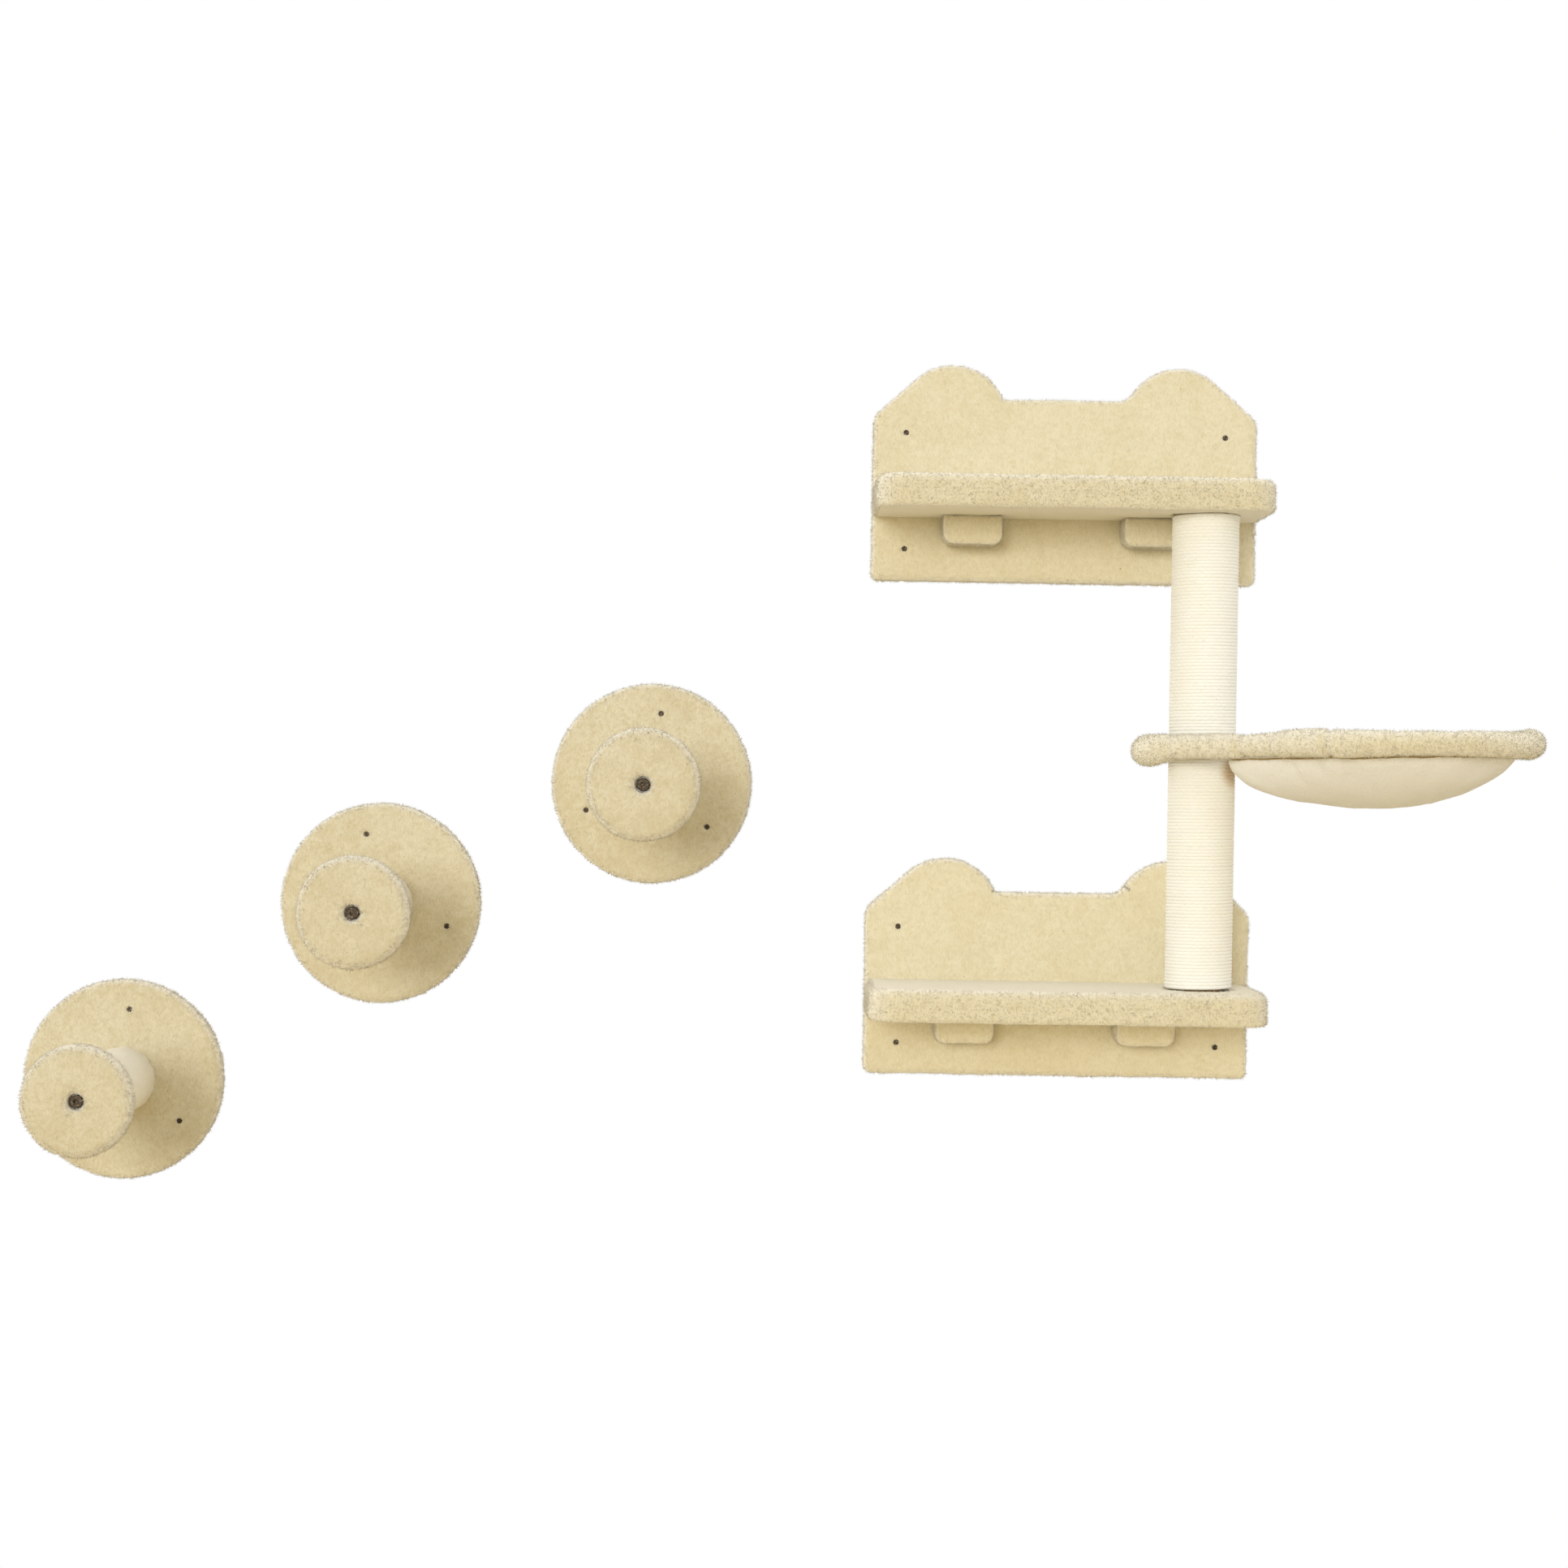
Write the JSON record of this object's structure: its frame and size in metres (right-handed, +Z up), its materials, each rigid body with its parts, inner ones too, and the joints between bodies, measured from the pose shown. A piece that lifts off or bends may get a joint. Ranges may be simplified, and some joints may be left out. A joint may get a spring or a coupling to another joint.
{
  "type": "wall mounted cat tree",
  "caption": "Wall mounted cat tree: plush shelves on eared wall panels, joined by a rope-wound post with a swivelling ring hammock, and separate round peg steps leading up to them.",
  "frame": {"origin": "centre of the upper panel's four wall screws, on the wall plane", "axes": "+X right along the wall, +Y into the wall, +Z up"},
  "size_m": [1.5362, 0.3441, 0.8623],
  "materials": {
    "cream_plush": "short cream plush",
    "smooth_plush": "flattened cream plush",
    "pale_plush": "pale cream plush",
    "sisal": "off-white wound sisal rope",
    "mdf": "bare fibreboard",
    "particle_board": "bare particle board",
    "pine": "sawn pine",
    "cardboard": "wound paper tube",
    "zinc_steel": "zinc plated",
    "blackened_steel": "black oxide"
  },
  "bodies": {
    "wall_set": {"upper_panel_board": "mdf", "upper_panel_cover": "cream_plush", "upper_shelf_board": "particle_board", "upper_shelf_cover": "cream_plush", "upper_left_block": "pine", "upper_right_block": "pine", "upper_block_covers": "cream_plush", "upper_wall_screws": "blackened_steel", "upper_shelf_screws": "zinc_steel", "upper_block_screws": "zinc_steel", "lower_panel_board": "mdf", "lower_panel_cover": "cream_plush", "lower_shelf_board": "particle_board", "lower_shelf_cover": "cream_plush", "lower_left_block": "pine", "lower_right_block": "pine", "lower_block_covers": "cream_plush", "lower_wall_screws": "blackened_steel", "lower_shelf_screws": "zinc_steel", "lower_block_screws": "zinc_steel", "upper_post_tube": "cardboard", "upper_post_rope": "sisal", "upper_post_plugs": "pine", "lower_post_tube": "cardboard", "lower_post_rope": "sisal", "lower_post_plugs": "pine", "post_bolts": "zinc_steel", "post_washers": "zinc_steel", "post_stud": "zinc_steel", "step_1_disc_board": "mdf", "step_1_disc_cover": "cream_plush", "step_1_peg_tube": "cardboard", "step_1_peg_cover": "smooth_plush", "step_1_cap_board": "mdf", "step_1_cap_cover": "cream_plush", "step_1_bolt": "blackened_steel", "step_1_wall_screws": "blackened_steel", "step_2_disc_board": "mdf", "step_2_disc_cover": "cream_plush", "step_2_peg_tube": "cardboard", "step_2_peg_cover": "smooth_plush", "step_2_cap_board": "mdf", "step_2_cap_cover": "cream_plush", "step_2_bolt": "blackened_steel", "step_2_wall_screws": "blackened_steel", "step_3_disc_board": "mdf", "step_3_disc_cover": "cream_plush", "step_3_peg_tube": "cardboard", "step_3_peg_cover": "smooth_plush", "step_3_cap_board": "mdf", "step_3_cap_cover": "cream_plush", "step_3_bolt": "blackened_steel", "step_3_wall_screws": "blackened_steel", "step_peg_plugs": "pine", "step_tee_nuts": "zinc_steel", "step_washers": "zinc_steel"},
    "hammock": {"hammock_wire": "zinc_steel", "hammock_sleeve": "cream_plush", "hammock_bag": "pale_plush", "hammock_plate": "zinc_steel"}
  },
  "joints": [
    {"name": "hammock_swivel", "type": "hinge", "parent": "wall_set", "child": "hammock", "pos_m": [0.135, -0.102, -0.2685], "axis": [0, 0, -1], "range_deg": [-4.5, 144.5]}
  ]
}
